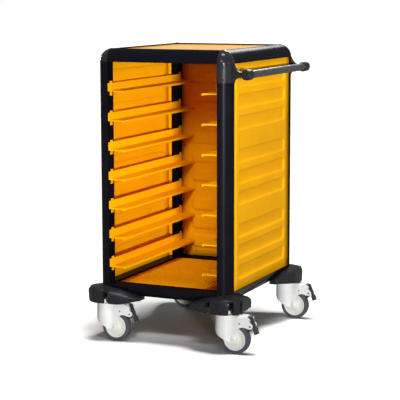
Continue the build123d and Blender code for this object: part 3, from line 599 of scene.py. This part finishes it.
# %% Axle covers
boss_face = 21.0 * mm
cover_section = np.array(((0.0, 2.6), (5.0, 2.5), (7.6, 2.1), (8.9, 1.2), (9.3, 0.0))) * mm
for corner in corners:
    axle = axles[f"wheel_{corner}"]
    for face, sign in wheel_faces:
        section = cover_section * (1, sign) + (0, sign * boss_face)
        points = turned(section[::-sign], axle)
        quads = grid_quads(*points.shape[:2], close_rows=True)
        add_piece(f"castor_cover_{corner}_{face}", points, quads, "castor_plastic", f"castor_{corner}_swivel")
print("axle covers:", len(wheel_faces) * len(corners))

# %% [markdown]
# Neck sleeves: a white collar stands on each hood round the swivel pin and shows through the bumper's slots.
# The tool for the wheels turns about a level axle, so here a circle is carried up instead, with one radius
# for each height, and points on the axis close its two ends.

# %% Neck sleeves
hood_top = 130.5 * mm
sleeve_top = 145.5 * mm
sleeve_radius = 20.0 * mm
sleeve_edge = 1.0 * mm
turn = np.linspace(0, 2 * np.pi, turn_steps, endpoint=False)
circle = np.stack((np.cos(turn), np.sin(turn)), axis=-1)
sleeve_radii = (0.0, sleeve_radius, sleeve_radius, sleeve_radius - sleeve_edge, 0.0)
sleeve_heights = (hood_top, hood_top, sleeve_top - sleeve_edge, sleeve_top, sleeve_top)
for corner in corners:
    points = carried_up(circle, axles[f"swivel_{corner}"][:2], sleeve_radii, sleeve_heights)
    quads = grid_quads(*points.shape[:2], close_columns=True)
    add_piece(f"castor_sleeve_{corner}", points, quads, "castor_plastic", f"castor_{corner}_swivel")
print("neck sleeves:", len(corners))

# %% [markdown]
# Bumpers: one soft-edged moulding for each corner. A drum hangs over the castor and runs out into a wing
# along each side of the cabinet, and slots are cut up through the skirt of the drum. Such a form could be
# sculpted, but it is a section carried along a path: straight along the front, round the stem, straight along
# the side. The drum is the same at all four corners, and each corner has the two wings that it needs: swept
# and rising ones taper off, blunt and short ones end squarely.
# Sizes are in millimetres, out from the cabinet's face or up from the frame's underside. Proud is how far the
# ridge stands out, draft is how far the lower edge leans back, and skirt is the thickness there. A wing has
# two values of each, for its shoulder and its tip.

# %% Sizes of the bumpers
post_low, post_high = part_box("post_front_right")
half_width = post_high.x
half_depth = -post_low.y
frame_bottom = post_low.z
stem_x, stem_y = np.abs(axles["swivel_front_right"][:2])
drum_radius = 62.0 * mm
drum = {
    "proud": 40.9, "draft": 3.0, "bottom": -20.5, "ridge": 29.0, "top": 38.0,
    "inner_top": -8.0, "inner": -10.0, "skirt": 5.0,
}
wings = {
    "swept": {
        "reach": (66.5, 132.5), "proud": (26.0, 6.0), "draft": (1.0, 1.0), "bottom": (-23.0, -8.0),
        "ridge": (3.5, -2.0), "top": (24.5, 3.5), "inner_top": (-4.0, -30.0), "inner": (-21.0, -40.0),
        "skirt": (46.0, 45.0),
    },
    "blunt": {
        "reach": (52.0, 112.0), "proud": (32.0, 14.0), "draft": (1.0, 1.0), "bottom": (-21.0, -17.0),
        "ridge": (14.0, 1.0), "top": (29.0, 9.0), "inner_top": (-4.0, -22.0), "inner": (-21.0, -32.0),
        "skirt": (50.0, 45.0),
    },
    "short": {
        "reach": (38.0, 83.0), "proud": (39.8, 37.5), "draft": (3.0, 2.0), "bottom": (-20.5, -18.0),
        "ridge": (24.0, 15.0), "top": (33.0, 24.0), "inner_top": (-6.0, -4.0), "inner": (-12.0, -21.0),
        "skirt": (8.0, 56.0),
    },
    "rising": {
        "reach": (55.0, 163.0), "proud": (39.0, 6.0), "draft": (3.0, 1.0), "bottom": (-17.5, -2.0),
        "ridge": (27.0, 6.0), "top": (35.0, 12.0), "inner_top": (-6.0, -16.0), "inner": (-12.0, -21.0),
        "skirt": (10.0, 26.0),
    },
}
corner_wings = {
    "front_left": ("swept", "short"),
    "front_right": ("blunt", "short"),
    "rear_left": ("swept", "rising"),
    "rear_right": ("swept", "rising"),
}
print("kinds of wing:", list(wings))

# %% [markdown]
# Slots: upright cuts through the skirt. A Boolean could cut them, but it leaves long thin faces that spoil
# the shading of a curved skirt, so the section itself is cut short inside a slot. A slot needs crisp sides:
# two lines of the grid lie close together at each of its edges, one inside the slot and one outside. Slots in
# the front wing are placed in millimetres from the stem, and those in the bend in degrees round it.

# %% Slots of the bumpers
slot_width = 17.0 * mm
slot_edge = 0.2 * mm
slot_top = 20.0 * mm
slot_back = 24.0 * mm
front_slots = {"front_left": (-21.2,), "front_right": (-40.7,), "rear_left": (-21.2,), "rear_right": (-40.7,)}
bend_slots = {"front_left": (), "front_right": (49.0, 8.0), "rear_left": (), "rear_right": (45.5,)}


def with_edges(line, middles, half, step):
    """Points of a line with two close pairs added at the edges of each slot, in the line's own order."""
    edges = np.array(middles)[:, None] + np.array((-half - step, -half + step, half - step, half + step))
    together = np.sort(np.concatenate((line, edges.ravel())))
    return together if line[0] < line[-1] else together[::-1]


def in_slot(line, middles, half):
    """True for the points of a line that lie between the edges of a slot."""
    return (np.abs(line[:, None] - np.array(middles)) < half).any(axis=1)


print("slots:", {corner: len(front_slots[corner]) + len(bend_slots[corner]) for corner in corners})

# %% [markdown]
# The path has six stations: the front wing's tip and shoulder, the two ends of the drum, and the side wing's
# shoulder and tip. A size of the section is given at the stations only. A spline through these values could
# overshoot, so straight lines join them, and averaging over a short stretch of the path rounds the kinks.

# %% Path of a bumper
path_steps = 40
easing_reach = 4


def bumper_path(corner):
    """Places along the path, in the corner's own quarter: spine points, outward normals, station numbers and
    whether a place lies in a slot. The spine is a line, a quarter ellipse round the stem, and a line."""
    front_reach, side_reach = (np.array(wings[wing]["reach"]) * mm for wing in corner_wings[corner])
    in_front = stem_x + np.array(front_slots[corner]) * mm
    in_bend = np.radians(bend_slots[corner])
    half_slot = slot_width / 2
    half_turn = half_slot / drum_radius
    front = np.linspace(stem_x - front_reach[1], stem_x, path_steps)
    front = with_edges(front, in_front, half_slot, slot_edge)
    bend = np.linspace(np.pi / 2, 0, path_steps)
    bend = with_edges(bend, in_bend, half_turn, slot_edge / drum_radius)
    along = np.linspace(stem_y, stem_y - side_reach[1], path_steps)
    cut = np.concatenate((
        in_slot(front, in_front, half_slot),
        in_slot(bend, in_bend, half_turn),
        np.zeros(path_steps, dtype=bool),
    ))
    bend_x = stem_x + (half_width - stem_x) * np.cos(bend)
    bend_y = stem_y + (half_depth - stem_y) * np.sin(bend)
    spine = np.concatenate((
        np.stack((front, np.full_like(front, half_depth)), axis=-1),
        np.stack((bend_x, bend_y), axis=-1),
        np.stack((np.full_like(along, half_width), along), axis=-1),
    ))
    turn = np.concatenate((np.full_like(front, np.pi / 2), bend, np.zeros_like(along)))
    normal = np.stack((np.cos(turn), np.sin(turn)), axis=-1)
    station = np.concatenate((
        2 - np.interp(stem_x - front, (0, *front_reach), (0, 1, 2)),
        2 + (np.pi / 2 - bend) / (np.pi / 2),
        3 + np.interp(stem_y - along, (0, *side_reach), (0, 1, 2)),
    ))
    return spine, normal, station, cut


def station_values(corner, name):
    """One size of the section at the six stations."""
    front, side = (wings[wing][name] for wing in corner_wings[corner])
    return (*front[::-1], drum[name], drum[name], *side)


def eased(values, station):
    """Station values joined by straight lines, then averaged over a short stretch of the path."""
    joined = np.interp(station, np.arange(len(values)), values) * mm
    window = 2 * easing_reach + 1
    return np.convolve(np.pad(joined, easing_reach, mode="edge"), np.ones(window) / window, mode="valid")


print("places along a path:", {corner: len(bumper_path(corner)[2]) for corner in corners})

# %% [markdown]
# The section has six corners, each with its own rounding, and it is carried along the path. Every bumper is
# worked out in the quarter where x and y are positive, and signs put it in its own quarter. A single mirror
# turns faces inside out, so those grids are read in the opposite order.

# %% Bumpers
section_radii = np.array((2.0, 16.0, 5.0, 1.5, 1.0, 1.0))[:, None] * mm


def bumper_points(corner):
    """Section carried along the path. Its corners, out from the spine and up from the frame's underside, are
    the inner top, the ridge, the lower edge, the skirt's inner edge, the skirt's root and the inner root.
    In a slot the lower edge goes up and the skirt's inner edge goes back. A middle point closes each end."""
    spine, normal, station, cut = bumper_path(corner)
    proud, draft, bottom, ridge, top, inner_top, inner, skirt = (
        eased(station_values(corner, name), station) for name in drum
    )
    bottom = np.where(cut, slot_top, bottom)
    skirt = np.where(cut, slot_back, skirt)
    root = np.zeros_like(station)
    outline = np.stack((
        np.stack((inner_top, top), axis=-1),
        np.stack((proud, ridge), axis=-1),
        np.stack((proud - draft, bottom), axis=-1),
        np.stack((proud - draft - skirt, bottom), axis=-1),
        np.stack((proud - draft - skirt, root), axis=-1),
        np.stack((inner, root), axis=-1),
    ), axis=-2)
    section = smooth_section(outline, section_radii)
    middle = section.mean(axis=1, keepdims=True)
    first_end = np.broadcast_to(middle[:1], section[:1].shape)
    last_end = np.broadcast_to(middle[-1:], section[-1:].shape)
    section = np.concatenate((first_end, section, last_end))
    spine = np.concatenate((spine[:1], spine, spine[-1:]))
    normal = np.concatenate((normal[:1], normal, normal[-1:]))
    plan = spine[:, None] + normal[:, None] * section[..., :1]
    return np.concatenate((plan, frame_bottom + section[..., 1:]), axis=-1)


for corner in corners:
    fore, side = corner.split("_")
    sign = np.array((1 if side == "right" else -1, 1 if fore == "rear" else -1, 1))
    points = bumper_points(corner) * sign
    quads = grid_quads(*points.shape[:2], close_columns=True)[:, ::int(-sign.prod())]
    piece = add_piece(f"bumper_{corner}_moulded", points, quads, "bumper_plastic", "frame")
    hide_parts(f"bumper_{corner}")
    print(piece.name, "rows and columns:", points.shape[:2])

# %% [markdown]
# Studio: a white background and a plain white floor without a horizon. Stronger lamps could whiten a
# backdrop, but they would bleach the trolley as well. Here the white is seen by the camera and in reflections
# only, so it adds no light. The Light Path node tells those rays from the ones that light a surface.

# %% Background
world_level = 0.025
background_level = 1.0


def seen_directly(tree):
    """Socket that is 1 for rays from the camera, off a gloss or through glass, and 0 for all others."""
    path = tree.nodes.new("ShaderNodeLightPath")
    seen = path.outputs["Is Camera Ray"]
    for kind in ("Is Glossy Ray", "Is Transmission Ray"):
        either = tree.nodes.new("ShaderNodeMath")
        either.operation = "MAXIMUM"
        tree.links.new(seen, either.inputs[0])
        tree.links.new(path.outputs[kind], either.inputs[1])
        seen = either.outputs["Value"]
    return seen


world = bpy.data.worlds.new("studio")
bpy.context.scene.world = world
world.use_nodes = True
background = world.node_tree.nodes["Background"]
background.inputs["Color"].default_value = (1.0, 1.0, 1.0, 1.0)
level = world.node_tree.nodes.new("ShaderNodeMapRange")
level.inputs["To Min"].default_value = world_level
level.inputs["To Max"].default_value = background_level
world.node_tree.links.new(seen_directly(world.node_tree), level.inputs["Value"])
world.node_tree.links.new(level.outputs["Result"], background.inputs["Strength"])
print("background level:", background_level, "lighting level:", world_level)

# %% [markdown]
# The floor is one large square. It looks white and keeps the trolley's shadow, but the light that it throws
# back is that of a dark floor, so the underside and the shadow stay dark.

# %% Floor
floor_size = 60.0
floor_seen = 1.5
floor_mesh = bpy.data.meshes.new("floor")
floor_corners = np.array(((-1, -1, 0), (1, -1, 0), (1, 1, 0), (-1, 1, 0))) * floor_size / 2
floor_mesh.from_pydata(floor_corners.tolist(), [], [(0, 1, 2, 3)])
floor = bpy.data.objects.new("floor", floor_mesh)
floor_finish = new_finish("floor_white")
tint(floor_finish, noise(floor_finish, 400 * mm), dark=(0.07, 0.07, 0.07), light=(0.08, 0.08, 0.08))
polish(floor_finish, noise(floor_finish, 200 * mm), low=0.85, high=0.95)
floor_nodes = floor_finish.node_tree.nodes
floor_links = floor_finish.node_tree.links
floor_white = floor_nodes.new("ShaderNodeBsdfDiffuse")
floor_white.inputs["Color"].default_value = (floor_seen, floor_seen, floor_seen, 1.0)
floor_choice = floor_nodes.new("ShaderNodeMixShader")
floor_links.new(seen_directly(floor_finish.node_tree), floor_choice.inputs["Fac"])
floor_links.new(floor_nodes["Principled BSDF"].outputs["BSDF"], floor_choice.inputs[1])
floor_links.new(floor_white.outputs["BSDF"], floor_choice.inputs[2])
floor_links.new(floor_choice.outputs["Shader"], floor_nodes["Material Output"].inputs["Surface"])
floor_mesh.materials.append(floor_finish)
bpy.context.scene.collection.objects.link(floor)
print("floor side in metres:", floor_size)

# %% [markdown]
# Lamps: a soft one overhead, three that are level with the cabinet, beside the camera, on the right and
# behind, and two small ones. Of these, one is aimed into the open front, and one stands behind, where the
# round top of the right-hand rail and the push tube mirror it as a bright line. All but the small ones are
# sun lamps, because their level is the same all over the floor, and a level sun hardly lights it at all.


# %% Lamps
def add_lamp(name, kind, strength, towards):
    """Lamp of a kind that shines from the direction given."""
    lamp = bpy.data.objects.new(name, bpy.data.lights.new(name, kind))
    lamp.data.energy = strength
    lamp.rotation_mode = "QUATERNION"
    lamp.rotation_quaternion = Vector(towards).to_track_quat("Z", "Y")
    bpy.context.scene.collection.objects.link(lamp)
    return lamp


def add_sun(name, strength, spread, towards):
    """Sun lamp with a spread in degrees, which softens the edges of its shadows."""
    sun = add_lamp(name, "SUN", strength, towards)
    sun.data.angle = np.radians(spread)


def add_panel_lamp(name, power, size, spread, place, aim):
    """Rectangular lamp of a given width, height and spread in degrees that isn't itself in the picture."""
    panel = add_lamp(name, "AREA", power, Vector(place) - Vector(aim))
    panel.data.shape = "RECTANGLE"
    panel.data.size, panel.data.size_y = size
    panel.data.spread = np.radians(spread)
    panel.location = place
    panel.visible_camera = False


add_sun("overhead_lamp", strength=2.6, spread=20, towards=(0.14, -0.06, 1.0))
add_sun("camera_lamp", strength=4.8, spread=5, towards=(0.60, -0.80, 0.0))
add_sun("side_lamp", strength=0.3, spread=6, towards=(1.0, -0.1, 0.0))
add_sun("back_lamp", strength=2.8, spread=4, towards=(-0.65, 0.75, 0.0))
add_panel_lamp(
    "front_lamp", power=0.9, size=(0.3, 0.3), spread=40, place=(0.4, -1.1, 1.2), aim=(-0.10, -0.02, 0.37)
)
add_panel_lamp(
    "rim_lamp", power=2.0, size=(0.55, 0.35), spread=40, place=(-0.22, 1.8, 1.73), aim=(0.22, 0.0, 0.97)
)
